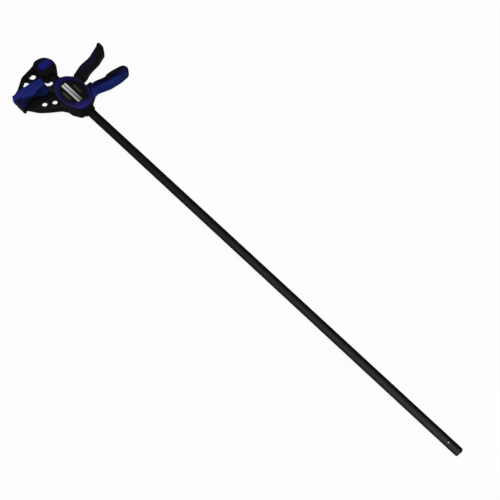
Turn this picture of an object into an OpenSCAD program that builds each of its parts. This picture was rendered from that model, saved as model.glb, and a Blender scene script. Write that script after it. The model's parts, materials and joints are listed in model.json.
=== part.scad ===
// One-handed quick release bar clamp, jaws closed, lying on its side.
// Origin: middle of the bar where the two pads meet. +X runs along the bar to
// its free end, +Y points to the handles, +Z is up, across the clamp.

/* [Bar] */
// Width of the bar, across its broad face
bar_w = 17; // [15:0.5:17]
// Thickness of the bar
bar_t = 6.4; // [5.6:0.2:7]
// Length of bar behind the pad plane, inside the fixed head
bar_front = 41; // [39:1:42]
// Length of bar from the pad plane to its free end
bar_reach = 1080; // [400:10:1400]
// Bevel along the four long edges of the bar
bar_bevel = 1.3; // [0.6:0.1:1.6]
// Cut across the two corners of the free end
tip_cut = 2.5; // [1:0.5:4]
// Diameter of the hole near the free end
end_hole_d = 4.5; // [4:0.5:8]
// Distance from the free end to that hole
end_hole_in = 27; // [15:1:40]

/* [Fixed jaw] */
// Thickness of the head that holds the bar
head_t = 28; // [26:1:30]
// Thickness of both jaw arms over their flanges
arm_t = 15; // [14:0.5:16]
// Thickness of the web between the flanges
web_t = 2.8; // [2.4:0.2:4]
// Width of the flanges around the web
flange_w = 3.2; // [2.6:0.2:3.8]
// Diameter of the two holes in the fixed arm
fixed_hole_d = 13.2; // [11:0.2:13.4]
// Diameter of the two holes in the moving arm
moving_hole_d = 10.6; // [9:0.2:11]
// Width of the raised rim round each of those holes
rim_w = 2; // [1.5:0.25:2.5]
// Height of that rim above the web
rim_rise = 0.6; // [0.4:0.2:1.6]
// Distance from the bar to the tips of the jaw pads
jaw_reach = 92; // [88:1:100]
// How much the tips of arms and pads narrow on each side
taper = 5; // [3:0.5:6]

/* [Jaw release button] */
// Distance from the pad plane to the locking pin
lock_in = 24; // [22:1:26]
// Diameter of the thick part of the locking pin
lock_pin_d = 9; // [8:0.5:10]
// Diameter of its neck, which passes the slot in the bar
lock_neck_d = 5; // [4:0.5:6]
// Length of the oval button, across the bar
button_l = 28; // [24:1:29]
// Width of the oval button
button_w = 23; // [19:1:24]
// Height of the button above the head
button_rise = 1.8; // [1:0.2:2.4]
// How far the button is pressed in
button_travel = 4.2; // [3.8:0.1:4.6]

/* [Pads] */
// Thickness of each pad in front of its arm
pad_wall = 8; // [6:0.5:9]
// Width of the pads across the clamp
pad_w = 26; // [24:1:30]

/* [Moving head] */
// Thickness of the body, both shells together
body_t = 25; // [24:0.5:27]
// Length of the oval body along the bar
body_l = 90; // [89:0.5:92]
// Height of the oval body
body_h = 62; // [61:1:64]
// Distance from the pad plane to the middle of the oval body
body_in = 60.2; // [59.8:0.2:60.8]
// Thickness of the nose round the bar
nose_t = 11.6; // [11.2:0.2:13]
// Height of the nose round the bar
nose_h = 20.8; // [20:0.2:22]
// Largest rounding of the body's edges
body_edge = 7; // [5:0.5:8]

/* [Ring and badge] */
// Width of the soft ring at its two ends
ring_w = 15; // [13.5:0.5:16]
// Width of the soft ring along its broad sides
ring_side_w = 10.5; // [9.5:0.5:12]
// Height of the soft ring above the body
ring_rise = 1.6; // [1.2:0.2:2.4]
// Thickness of the oval badge
badge_t = 1.2; // [0.8:0.1:1.6]

/* [Grip] */
// Thickness of the grip over its soft sleeve
grip_t = 26; // [25:1:28]
// Thickness of the soft sleeve
sleeve_t = 3.4; // [2.4:0.2:3.6]
// Depth of the bare ridge that the fingers rest on
ridge_depth = 8.5; // [7:0.5:9]
// How far that ridge stands out of the sleeve
ridge_rise = 1.6; // [0.8:0.2:2]

/* [Trigger] */
// Thickness of the trigger
trigger_t = 18; // [17.6:0.2:18.4]
// Thickness of the soft strip over its front
strip_t = 2.8; // [2.6:0.2:4]
// Thickness of the two cheeks that reach down beside the bar
cheek_t = 2.4; // [2:0.1:2.5]
// Angle through which the trigger is squeezed
squeeze = 22; // [16:1:22]
// Diameter of the trigger's pivot pin
trigger_pin_d = 6; // [5:0.5:6.5]
// Diameter of the steel roller that pushes the drive plates
roller_d = 5; // [4:0.5:5]

/* [Drive and brake] */
// Thickness of one steel plate
plate_t = 2.5; // [2:0.25:2.75]
// Height of the drive plates below the middle of the bar
plate_drop = 13; // [12:0.5:14]
// Tilt of the brake plates when they grip
brake_tilt = 7.25; // [6:0.25:7.5]
// Diameter of the pin that anchors the brake plates
anchor_d = 5; // [4:0.5:6]
// Width of the plates across the clamp
plate_w = 12.4; // [11:0.2:12.4]
// Outer diameter of the two coil springs above the bar
spring_d = 8.6; // [7.6:0.2:9]
// Wire of those springs
spring_wire = 1.2; // [0.8:0.1:1.4]

/* [Fasteners] */
// Diameter of the housing screws
screw_d = 3.5; // [3:0.25:4]
// Diameter of their heads
screw_head_d = 6.6; // [5.6:0.2:7]

/* [Clearances] */
// Gap between the bar and the fixed head
bar_gap = 0.1; // [0.05:0.05:0.3]
// Gap between the bar and the guides it slides in
guide_gap = 0.15; // [0.1:0.05:0.3]
// Gap round a turning pin
pin_gap = 0.05; // [0.03:0.01:0.08]
// Gap between moving pieces and what they pass
move_gap = 0.4; // [0.3:0.05:0.6]
// Gap between a soft piece and a moving neighbour
soft_gap = 0.3; // [0.2:0.05:0.4]

/* [Hidden] */

$fn = 48;
corner_steps = 5;

black = [0.07, 0.07, 0.08];
blue = [0.12, 0.14, 0.45];
navy = [0.12, 0.11, 0.24];
steel = [0.55, 0.56, 0.58];
oxide = [0.12, 0.12, 0.13];

tip_y = -jaw_reach;
pad_top_y = -25;

// Places of the mechanism inside the moving head
pivot = [37, 16];
roller = [41, 24.5];
drive_x = roller[0] + roller_d/2 + 0.3;
drive_end = drive_x + 2*plate_t + 0.1;
rib_x = 58;
rib_t = 3.2;
anchor = [66, -19];
spring_y = 15.5;
spring_wall = 82;
plate_gap = 0.1;
cavity_z = plate_w/2 + 1.6;
pin_half = body_t/2 - badge_t - 0.8;
cheek_r = 12;
roller_seat = 1.4;

// The brake plates stand behind their anchor pin, seen with the pin at the origin
plates_front = anchor_d/2 + pin_gap;
plates_back = plates_front + 2*plate_t + plate_gap;
plates_mid = (plates_front + plates_back)/2;
brake_top = 51;

// Plug that closes the well of the locking pin from below
plug_d = lock_pin_d + 4;
plug_z = -head_t/2 + 2.2;
button_z = head_t/2 + button_rise - 6;
// The button's middle lies this far above the pin
button_y = 1.4;

// Steel sleeves that guide the bar
guide_wall = 2.4;
guide_l = 9;
guide_front_x = 21;
guide_rear_x = 95;

nose_x = 12;
nose_end = 30;
collar_x = 113;

body_c = [body_in, 0.8];
badge_a = body_l/2 - ring_w;
badge_b = body_h/2 - ring_side_w;

function unit(v) = v/norm(v);
function turn(a, b, c) = (b[0] - a[0])*(c[1] - b[1]) - (b[1] - a[1])*(c[0] - b[0]) > 0 ? 1 : -1;

// Arc that rounds corner b between its neighbours a and c, moved inwards by inset
function corner(a, b, c, radius, inset) =
    let (
        to_a = unit(a - b),
        to_c = unit(c - b),
        side = turn(a, b, c),
        half = acos(max(-1, min(1, to_a*to_c)))/2,
        centre = b + unit(to_a + to_c)*radius/sin(half),
        first = b + to_a*radius/tan(half) - centre,
        start = atan2(first[1], first[0]),
        sweep = 180 - 2*half,
        r = side > 0 ? max(radius - inset, 0.3) : radius + inset
    )
    [for (i = [0:corner_steps]) centre + r*[cos(start + side*sweep*i/corner_steps),
        sin(start + side*sweep*i/corner_steps)]];

// Rounded outline through corners of the form [x, y, radius], counter-clockwise
function outline(points, inset = 0) =
    let (n = len(points))
    [for (i = [0:n - 1]) each corner(
        [points[(i + n - 1)%n][0], points[(i + n - 1)%n][1]],
        [points[i][0], points[i][1]],
        [points[(i + 1)%n][0], points[(i + 1)%n][1]],
        points[i][2], inset)];

function oval(a, b, inset = 0, steps = 48, power = 2.15) =
    [for (i = [0:steps - 1]) let (t = 360*i/steps)
        [(a - inset)*sign(cos(t))*pow(abs(cos(t)), 2/power),
         (b - inset)*sign(sin(t))*pow(abs(sin(t)), 2/power)]];

function raise(loop, z) = [for (p = loop) [p[0], p[1], z]];

function area(a, b, c) = (b[0] - a[0])*(c[1] - a[1]) - (b[1] - a[1])*(c[0] - a[0]);
function covers(a, b, c, p) = area(a, b, p) >= 0 && area(b, c, p) >= 0 && area(c, a, p) >= 0;

// First corner of those left that can be cut off a loop without cutting through its outline
function ear(loop, left, k = 0) =
    let (
        n = len(left),
        a = loop[left[(k + n - 1)%n]],
        b = loop[left[k%n]],
        c = loop[left[(k + 1)%n]],
        caught = [for (i = [2:n - 2]) if (covers(a, b, c, loop[left[(k + i)%n]])) i]
    )
    k >= n ? 0 : area(a, b, c) > 0 && len(caught) == 0 ? k : ear(loop, left, k + 1);

// Triangles that fill a loop, which may have hollows, cut off corner by corner
function fill(loop, left, found = []) =
    let (n = len(left), k = n > 3 ? ear(loop, left) : 1)
    n == 3 ? concat(found, [left]) : fill(
        loop,
        [for (i = [2:n]) left[(k + (i < n ? i : n + 1))%n]],
        concat(found, [[left[(k + n - 1)%n], left[k], left[(k + 1)%n]]]));

// Closed skin over a stack of loops that all have as many points
module skin(loops, hollows = false) {
    n = len(loops[0]);
    last = len(loops) - 1;
    all = [for (i = [0:n - 1]) i];
    first_cap = hollows ? fill(loops[0], all) : [all];
    last_cap = hollows ? fill(loops[last], all) : [all];
    polyhedron(
        [for (loop = loops) each loop],
        concat(
            first_cap,
            [for (k = [0:last - 1], i = [0:n - 1])
                [k*n + i, (k + 1)*n + i, (k + 1)*n + (i + 1)%n, k*n + (i + 1)%n]],
            [for (face = last_cap) [for (i = [len(face) - 1:-1:0]) last*n + face[i]]]
        ),
        convexity = 8);
}

// Slab between z0 and z1 with its upper edge, and if asked its lower one, rounded
module slab(points, z0, z1, edge, low_edge = 0, steps = 3) {
    low = low_edge > 0
        ? [for (i = [0:steps]) let (a = 90*(1 - i/steps))
            raise(outline(points, low_edge*(1 - cos(a))), z0 + low_edge*(1 - sin(a)))]
        : [raise(outline(points), z0)];
    high = [for (i = [0:steps]) let (a = 90*i/steps)
        raise(outline(points, edge*(1 - cos(a))), z1 - edge*(1 - sin(a)))];
    skin(concat(low, high), hollows = true);
}

module oval_slab(a, b, z0, z1, edge, steps = 3) {
    skin(concat(
        [raise(oval(a, b), z0)],
        [for (i = [0:steps]) let (t = 90*i/steps)
            raise(oval(a, b, edge*(1 - cos(t))), z1 - edge*(1 - sin(t)))]));
}

module prism(points, z0, z1, inset = 0) {
    translate([0, 0, z0]) linear_extrude(z1 - z0) polygon(outline(points, inset));
}

module block(x0, x1, y0, y1, z0, z1) {
    translate([x0, y0, z0]) cube([x1 - x0, y1 - y0, z1 - z0]);
}

module drill(at, d, z0, z1) {
    translate([at[0], at[1], z0]) cylinder(d = d, h = z1 - z0);
}

// Bar section, grown by gap all round, from x0 to x1
module bar_hole(x0, x1, gap) {
    block(x0, x1, -bar_w/2 - gap, bar_w/2 + gap, -bar_t/2 - gap, bar_t/2 + gap);
}

// Coil spring along +Z from the origin
module coil(r, wire, length, turns, sides = 6, steps = 16) {
    count = turns*steps;
    rise = (length - wire)/count;
    function ring(i) = let (t = 360*i/steps) [for (k = [0:sides - 1])
        let (s = 360*k/sides, q = r + wire/2*cos(s))
        [q*cos(t), q*sin(t), wire/2 + rise*i + wire/2*sin(s)]];
    skin([for (i = [count:-1:0]) ring(i)]);
}

module bar() {
    b = bar_bevel;
    w = bar_w/2;
    t = bar_t/2;
    section = [[-w, b - t], [b - w, -t], [w - b, -t], [w, b - t], [w, t - b], [w - b, t], [b - w, t], [-w, t - b]];
    plan = [[-bar_front, -w - 1], [bar_reach - tip_cut - 1, -w - 1], [bar_reach, -w + tip_cut],
        [bar_reach, w - tip_cut], [bar_reach - tip_cut - 1, w + 1], [-bar_front, w + 1]];
    color(oxide) difference() {
        intersection() {
            translate([-bar_front, 0, 0]) rotate([90, 0, 90]) linear_extrude(bar_front + bar_reach) polygon(section);
            translate([0, 0, -t - 1]) linear_extrude(bar_t + 2) polygon(plan);
        }
        drill([bar_reach - end_hole_in, 0], end_hole_d, -t - 1, t + 1);
        drill([-lock_in, 0], lock_pin_d + 2*bar_gap, -t - 1, t + 1);
        block(-bar_front - 1, -lock_in, -lock_neck_d/2 - bar_gap, lock_neck_d/2 + bar_gap, -t - 1, t + 1);
    }
}

fixed_head = [[-1.5, -12.5, 6], [-1.5, 11, 10], [-11, 19, 24], [-27.5, 21.8, 22], [-44.5, 12, 18],
    [-48.5, -8, 16], [-39, -19.5, 12], [-12, -19.5, 8]];
fixed_arm = [[-pad_wall, tip_y + 4, 2.2], [-pad_wall, -28, 6], [-5, -16, 4], [-30, -4, 4], [-46.5, -8, 7],
    [-42, -23.5, 22], [-37, -48, 15], [-18.8, tip_y + 19.4, 22], [-pad_wall - 5.6, tip_y + 4, 2.2]];
fixed_holes = [[-27, -29.5], [-21.5, -50.5]];
fixed_pocket = [[-pad_wall - flange_w, tip_y + 26, 1.5], [-pad_wall - flange_w, -21, 3],
    [-41 + flange_w, -18, 3], [-38.5 + flange_w, -28, 10], [-35.6 + flange_w, -47, 12]];

module fixed_jaw() {
    color(black) difference() {
        union() {
            slab(fixed_head, -head_t/2, head_t/2, 4, 4);
            intersection() {
                slab(fixed_arm, -arm_t/2, arm_t/2, 1.2, 1.2, 2);
                tip_taper(arm_t/2);
            }
        }
        bar_hole(-bar_front, 1, bar_gap);
        difference() {
            for (side = [-1, 1]) {
                mirror([0, 0, side > 0 ? 0 : 1]) prism(fixed_pocket, web_t/2, arm_t);
            }
            for (at = fixed_holes) drill(at, fixed_hole_d + 2*rim_w, -web_t/2 - rim_rise, web_t/2 + rim_rise);
        }
        for (at = fixed_holes) drill(at, fixed_hole_d, -arm_t, arm_t);
        translate([-lock_in, button_y, button_z - button_travel - move_gap])
            linear_extrude(head_t) polygon(oval(button_w/2 + soft_gap, button_l/2 + soft_gap));
        drill([-lock_in, 0], lock_neck_d + 2*pin_gap, 0, head_t);
        drill([-lock_in, 0], lock_pin_d + 2*pin_gap, -head_t, bar_t/2);
        drill([-lock_in, 0], plug_d, -head_t, plug_z);
    }
}

pad_face = soft_gap/2;
fixed_pad_outline = [[-pad_face, tip_y, 2.4], [-pad_face, pad_top_y, 2.4], [-pad_wall - 1, pad_top_y + 1, 2.4],
    [-pad_wall - 3.5, -46, 20], [-pad_wall - 5, tip_y + 26, 12], [-pad_wall - 3.4, tip_y + 11, 12],
    [-pad_wall - 6, tip_y + 1.5, 2.4]];

// Wedge that narrows the pads and the arms inside them towards their tips
module tip_taper(w) {
    side = [[tip_y - 2, taper - w], [tip_y + 32, -w - 1.5], [120, -w - 1.5], [120, w + 1.5],
        [tip_y + 32, w + 1.5], [tip_y - 2, w - taper]];
    translate([-60, 0, 0]) rotate([90, 0, 90]) linear_extrude(180) polygon(side);
}

module fixed_pad() {
    color(blue) difference() {
        intersection() {
            slab(fixed_pad_outline, -pad_w/2, pad_w/2, 2.2, 2.2, 2);
            tip_taper(pad_w/2);
        }
        intersection() {
            prism(fixed_arm, -arm_t/2, arm_t/2);
            tip_taper(arm_t/2);
        }
        prism(fixed_head, -head_t, head_t);
    }
}

module lock_button() {
    color(blue) translate([-lock_in, button_y, 0]) difference() {
        oval_slab(button_w/2, button_l/2, button_z, head_t/2 + button_rise, 1.6);
        drill([0, -button_y], lock_neck_d, 0, button_z + 3.6);
        translate([0, 0, head_t/2 + button_rise + 29]) sphere(r = 30, $fn = 96);
    }
}

module lock_pin() {
    color(steel) difference() {
        union() {
            drill([-lock_in, 0], lock_pin_d, plug_z + button_travel + 0.8, 0.5);
            drill([-lock_in, 0], lock_neck_d, 0, head_t/2 + button_rise - 2.4);
        }
        drill([-lock_in, 0], lock_pin_d - 2.4, plug_z, -3.4);
    }
}

module button_spring() {
    wire = 0.8;
    color(steel) translate([-lock_in, 0, plug_z])
        coil((lock_pin_d - 2.4)/2 - wire/2 - 0.3, wire, -3.4 - plug_z, 4, 5, 10);
}

module spring_plug() {
    color(black) difference() {
        drill([-lock_in, 0], plug_d, -head_t/2, plug_z);
        drill([-lock_in, 0], plug_d/2, -head_t, -head_t/2 + 0.8);
    }
}

// Outline of the moving arm, which runs on as a chin under the body to the collar
moving_arm = [[pad_wall, tip_y + 4, 2.2], [22.5, tip_y + 4, 4], [45, -70, 24], [58.5, -53.6, 16],
    [70, -37, 20], [81, -29.6, 10], [91, -28.4, 10], [107.5, -19.2, 7], [111.5, -9, 4],
    [60, -6, 4], [14.5, -8, 3], [16.5, -19, 5], [pad_wall, -31, 6]];
moving_holes = [[39.2, -53.4], [48.8, -35.7]];
moving_pocket = [[pad_wall - 4, tip_y + 14, 2], [40, tip_y + 2, 2], [75, -44, 4], [63, -33, 4], [40, -22, 8],
    [pad_wall + 14, -30, 3], [pad_wall - 4, -46, 8]];
sleeve_outline = [[66, 4, 8], [92, 2, 8], [98, 19, 8], [84, 38, 16], [93.5, 66, 40], [95.5, 92, 30],
    [93.5, 113, 9.5], [81.5, 120.5, 7.5], [74.5, 110, 16], [71, 88, 40], [71.5, 68, 30], [66.5, 50, 14]];

// Outside of the body and its arm, one half above z = 0
module body_half() {
    translate([body_c[0], body_c[1], 0]) oval_slab(body_l/2, body_h/2, 0, body_t/2, body_edge, 4);
}

module grip_core(z1) {
    prism(sleeve_outline, 0, z1, sleeve_t);
}

// Bare ridge along the front of the grip, flush with the sleeve but for its rise
ridge_outline = [[71.6 - ridge_rise, 62, 8], [95, 62, 8], [95, 118, 8], [81.5 - ridge_rise, 120.5, 7.5],
    [74.5 - ridge_rise, 110, 16], [71 - ridge_rise, 88, 40]];
ridge_zone = [[60, 74.5, 1.5], [71 + ridge_depth, 74.5, 2], [72.5 + ridge_depth, 92, 40],
    [75 + ridge_depth, 113.5, 1.5], [60, 113.5, 1.5]];

module ridge() {
    intersection() {
        slab(ridge_outline, 0, grip_t/2 + 0.3, 7, 0, 3);
        prism(ridge_zone, -1, grip_t);
    }
}

module mechanism_space() {
    z = cavity_z;
    // drive plates, their spring and the cheeks of the trigger
    block(drive_x - 6, rib_x, -plate_drop - 1, 26, 0, z);
    drill(pivot, 2*cheek_r + 4*move_gap, 0, trigger_t/2 + move_gap);
    // mouth that the trigger swings in
    block(26, 54.5, 15, 60, 0, trigger_t/2 + move_gap);
    // brake plates, their spring and the mouth of the release tab
    block(rib_x + rib_t, spring_wall, -13, 23, 0, z);
    block(rib_x + rib_t + 1.8, anchor[0] + 10, anchor[1] - 6, -12, 0, z);
    tab_space(0);
}

// Slot that the release tab swings in, also through the root of the grip
module tab_space(low) {
    block(rib_x - 1.5, anchor[0] + 11, 20, 49, low, 8);
}

module shell_solid() {
    difference() {
        union() {
            body_half();
            intersection() {
                slab(moving_arm, 0, arm_t/2, 1.2, 0, 2);
                tip_taper(arm_t/2);
            }
            slab([[nose_x, -nose_h/2, 2], [nose_end, -nose_h/2, 4], [nose_end, nose_h/2, 4], [nose_x, nose_h/2, 2]],
                0, nose_t/2, 2);
            slab([[guide_rear_x, -nose_h/2 - 0.8, 4], [collar_x, -nose_h/2 - 0.8, 2],
                [collar_x, nose_h/2 + 0.8, 2], [guide_rear_x, nose_h/2 + 0.8, 4]], 0, nose_t/2 + 1, 2);
            grip_core(grip_t/2 - sleeve_t);
            ridge();
        }
        bar_hole(-1, body_in + body_l, move_gap);
        guide_space(guide_front_x, guide_front_x + guide_l);
        guide_space(guide_rear_x, guide_rear_x + guide_l);
        mechanism_space();
        difference() {
            intersection() {
                prism(moving_arm, web_t/2, arm_t, flange_w);
                prism(moving_pocket, 0, arm_t + 1);
            }
            for (at = moving_holes) drill(at, moving_hole_d + 2*rim_w, 0, web_t/2 + rim_rise);
            translate([body_c[0], body_c[1], 0]) linear_extrude(arm_t) polygon(oval(body_l/2, body_h/2));
        }
        for (at = moving_holes) drill(at, moving_hole_d, -1, arm_t);
        drill(pivot, trigger_pin_d, -1, pin_half);
        drill(anchor, anchor_d, -1, pin_half);
        translate([body_c[0], body_c[1], body_t/2 - badge_t])
            linear_extrude(body_t) polygon(oval(badge_a, badge_b));
    }
}

module guide_space(x0, x1) {
    block(x0, x1, -bar_w/2 - guide_gap - guide_wall, bar_w/2 + guide_gap + guide_wall,
        -bar_t/2 - guide_gap - guide_wall, bar_t/2 + guide_gap + guide_wall);
}

// Three screws under the ring, two in the grip
screw_places = [
    body_c + [-0.29*body_l, -0.28*body_h], body_c + [0.31*body_l, -0.255*body_h],
    body_c + [0.31*body_l, 0.26*body_h], [79.5, 56], [87.4, 100]];
screw_z = [body_t/2 - 2, body_t/2 - 2, body_t/2 - 2, grip_t/2 - sleeve_t, grip_t/2 - sleeve_t];

module shell_left() {
    color(black) difference() {
        shell_solid();
        for (at = screw_places) drill(at, screw_d, -1, 7);
    }
}

module shell_right() {
    color(black) difference() {
        mirror([0, 0, 1]) shell_solid();
        for (i = [0:len(screw_places) - 1]) {
            drill(screw_places[i], screw_d, -body_t, 1);
            drill(screw_places[i], screw_head_d, -body_t, -screw_z[i] + 2.4);
        }
    }
}

module housing_screws() {
    color(steel) for (i = [0:len(screw_places) - 1]) {
        head_z = -screw_z[i] + 2.4;
        difference() {
            union() {
                drill(screw_places[i], screw_d, head_z - 1, 6.8);
                drill(screw_places[i], screw_head_d, head_z - 2, head_z);
            }
            translate([screw_places[i][0], screw_places[i][1], head_z - 2])
                cylinder(d = 2.6, h = 2.4, center = true, $fn = 6);
        }
    }
}

// The pad's body, and the lower cheeks that it wraps round the arm
moving_pad_outline = [[pad_face, pad_top_y, 2.4], [pad_face, tip_y, 2.4], [15, tip_y, 3],
    [13.6, -78, 30], [13.4, -56, 20], [8.4, -42, 14], [7.6, pad_top_y, 2.4]];
cheek_outline = [[pad_face + 2, pad_top_y, 2.4], [pad_face + 2, tip_y, 2.4], [27, tip_y, 2.4], [23.5, -84.5, 5],
    [18.5, -75, 16], [18, -60, 12], [25, -50, 8], [31.5, -38, 6], [25.5, -29.5, 3], [14, pad_top_y, 5]];
cheek_half = arm_t/2 + 2.6;

module moving_pad() {
    color(blue) difference() {
        intersection() {
            union() {
                slab(moving_pad_outline, -pad_w/2, pad_w/2, 2.2, 2.2, 2);
                slab(cheek_outline, -cheek_half, cheek_half, 1.6, 1.6, 1);
            }
            tip_taper(pad_w/2);
        }
        intersection() {
            prism(moving_arm, -arm_t/2, arm_t/2);
            tip_taper(arm_t/2);
        }
        translate([body_c[0], body_c[1], -body_t]) linear_extrude(2*body_t) polygon(oval(body_l/2, body_h/2));
        for (at = moving_holes) drill(at, moving_hole_d + 2*rim_w + 1, -pad_w, pad_w);
    }
}

module grip_sleeve() {
    color(blue) difference() {
        slab(sleeve_outline, -grip_t/2, grip_t/2, 7, 7, 3);
        prism(sleeve_outline, -grip_t/2 + sleeve_t, grip_t/2 - sleeve_t, sleeve_t);
        translate([body_c[0], body_c[1], -body_t]) linear_extrude(2*body_t) polygon(oval(body_l/2, body_h/2));
        prism(ridge_zone, -grip_t, grip_t);
        tab_space(-8);
    }
}

// Soft ring with a rounded back, lying on the side of the body
module side_ring() {
    steps = 48;
    shoulder = 3;
    first = 30;
    top = body_t/2;
    centre_z = top - body_edge;
    // From the outer foot over the back: [inset from the body's outline, height]
    back = concat(
        [[body_edge - (body_edge - 1)*cos(first), centre_z + (body_edge - 1)*sin(first)]],
        [for (k = [0:shoulder])
            let (a = first + (90 - first)*k/shoulder, r = body_edge + 0.2 + ring_rise*sin(90*k/shoulder))
            [body_edge - r*cos(a), centre_z + r*sin(a)]]);
    // Down the inside: [distance outside the badge, height]
    inside = [[0.8, top + ring_rise], [0, top - 1]];
    loops = concat(
        [for (p = back) raise(oval(body_l/2, body_h/2, p[0]), p[1])],
        [for (p = inside) raise(oval(badge_a + p[0], badge_b + p[0]), p[1])]);
    n = len(loops);
    translate([body_c[0], body_c[1], 0]) polyhedron(
        [for (loop = loops) each loop],
        [for (k = [0:n - 1], i = [0:steps - 1])
            [k*steps + i, (k + 1)%n*steps + i, (k + 1)%n*steps + (i + 1)%steps, k*steps + (i + 1)%steps]],
        convexity = 8);
}

// The ring, fitted to the body, the root of the grip and the mouth of the trigger
module fitted_ring() {
    difference() {
        side_ring();
        body_half();
        grip_core(grip_t/2 - sleeve_t);
        mechanism_space();
    }
}

module ring_left() {
    color(blue) fitted_ring();
}

module ring_right() {
    color(blue) mirror([0, 0, 1]) difference() {
        fitted_ring();
        for (i = [0:2]) drill(screw_places[i], screw_head_d + 1, 0, body_t);
    }
}

module badge() {
    translate([body_c[0], body_c[1], body_t/2 - badge_t])
        linear_extrude(badge_t + 0.2) polygon(oval(badge_a, badge_b));
}

module badge_left() {
    color(black) badge();
}

module badge_right() {
    color(black) mirror([0, 0, 1]) badge();
}

module guide(x0, x1) {
    difference() {
        block(x0, x1, -bar_w/2 - guide_gap - guide_wall, bar_w/2 + guide_gap + guide_wall,
            -bar_t/2 - guide_gap - guide_wall, bar_t/2 + guide_gap + guide_wall);
        bar_hole(x0 - 1, x1 + 1, guide_gap);
    }
}

module guide_front() {
    color(steel) guide(guide_front_x, guide_front_x + guide_l);
}

module guide_rear() {
    color(steel) guide(guide_rear_x, guide_rear_x + guide_l);
}

module trigger_pin() {
    color(steel) drill(pivot, trigger_pin_d, -pin_half, pin_half);
}

module brake_anchor() {
    color(steel) drill(anchor, anchor_d, -pin_half, pin_half);
}

trigger_outline = [[27.5, 28, 4], [43, 27, 4], [48, 38, 7], [45, 48, 20], [38.5, 62, 40], [34, 87, 30],
    [25, 109, 9], [12.5, 116.5, 14], [-5, 116.5, 3.5], [3, 106.5, 16], [15, 78, 40], [17.8, 53, 20]];

// In front of this line the trigger wears its soft strip
strip_line = [[-20, 41, 1], [42.5, 41, 2], [32, 72, 60], [21, 91, 30], [7, 103, 2], [-20, 103, 1]];

module strip_zone() {
    z = trigger_t/2;
    difference() {
        prism(strip_line, -z - 1, z + 1);
        prism(trigger_outline, strip_t - z, z - strip_t, strip_t);
    }
}

module trigger() {
    z = trigger_t/2;
    inner_z = z - cheek_t;
    color(black) difference() {
        union() {
            slab(trigger_outline, -z, z, 2.4, 2.4);
            drill(pivot, 2*cheek_r, -z, z);
        }
        strip_zone();
        drill(pivot, 2*cheek_r + 9, -inner_z, inner_z);
        drill(pivot, trigger_pin_d + 2*pin_gap, -z - 1, z + 1);
        drill(roller, roller_d, -inner_z - roller_seat, inner_z + roller_seat);
        for (side = [-1, 1]) {
            mirror([0, 0, side > 0 ? 0 : 1]) prism(trigger_facet, z - 1.4, z + 1);
        }
    }
}

trigger_facet = [[25, 76, 1.5], [23.5, 94, 8], [17, 106, 4], [7, 112, 1.5], [12.5, 100, 14], [18, 84, 14]];

module trigger_strip() {
    color(navy) intersection() {
        slab(trigger_outline, -trigger_t/2, trigger_t/2, 2.4, 2.4);
        strip_zone();
    }
}

module drive_roller() {
    half = trigger_t/2 - cheek_t + roller_seat;
    color(steel) drill(roller, roller_d, -half, half);
}

// Steel plate with a window for the bar, standing across it at x
module standing_plate(x, y0, y1, window_h, window_w) {
    translate([x, 0, 0]) rotate([90, 0, 90]) linear_extrude(plate_t) difference() {
        polygon(outline([[y0, -plate_w/2, 2], [y1, -plate_w/2, 2], [y1, plate_w/2, 2], [y0, plate_w/2, 2]]));
        square([window_h, window_w], center = true);
    }
}

module drive_plates() {
    color(steel) for (i = [0:1]) {
        standing_plate(drive_x + i*(plate_t + plate_gap), -plate_drop, 25.5, bar_w + 2*guide_gap, bar_t + 2*guide_gap);
    }
}

module drive_spring() {
    color(steel) translate([drive_end, spring_y, 0]) rotate([0, 90, 0])
        coil((spring_d - spring_wire)/2, spring_wire, rib_x - drive_end, 3, 5, 12);
}

// Everything that turns with the brake plates is drawn upright, with the anchor at its origin
module brake_pose() {
    translate([anchor[0], anchor[1], 0]) rotate([0, 0, brake_tilt]) children();
}

module brake_plates() {
    window_y = (-anchor[1] - plates_mid*sin(brake_tilt))/cos(brake_tilt);
    window_h = bar_w + 1.6;
    color(steel) brake_pose() for (x = [plates_front, plates_front + plate_t + plate_gap]) {
        translate([x, 0, 0]) rotate([90, 0, 90]) linear_extrude(plate_t) difference() {
            polygon(outline([[-4.6, -plate_w/2, 2], [brake_top, -plate_w/2, 1], [brake_top, plate_w/2, 1],
                [-4.6, plate_w/2, 2]]));
            translate([window_y, 0]) square([window_h, bar_t + 2*guide_gap], center = true);
        }
    }
}

tab_outline = [[1, 48, 1.5], [9.2, 48, 1.5], [9.8, 55, 4], [8.8, 62, 2.4], [2.6, 63, 2.4], [2.2, 56, 8]];

module release_tab() {
    color(black) brake_pose() difference() {
        slab(tab_outline, -7.4, 7.4, 1.5, 1.5, 2);
        block(plates_front, plates_back, 38, brake_top, -plate_w/2, plate_w/2);
    }
}

module brake_spring() {
    low_edge = spring_y - spring_d/2 - anchor[1];
    start = anchor[0] - low_edge*tan(brake_tilt) + plates_back/cos(brake_tilt);
    color(steel) translate([start, spring_y, 0]) rotate([0, 90, 0])
        coil((spring_d - spring_wire)/2, spring_wire, spring_wall - start, 4, 5, 12);
}

bar();
fixed_jaw();
fixed_pad();
lock_button();
lock_pin();
button_spring();
spring_plug();
shell_left();
shell_right();
moving_pad();
grip_sleeve();
ring_left();
ring_right();
badge_left();
badge_right();
guide_front();
guide_rear();
housing_screws();
trigger_pin();
brake_anchor();
trigger();
trigger_strip();
drive_roller();
drive_plates();
drive_spring();
brake_plates();
release_tab();
brake_spring();
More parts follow.
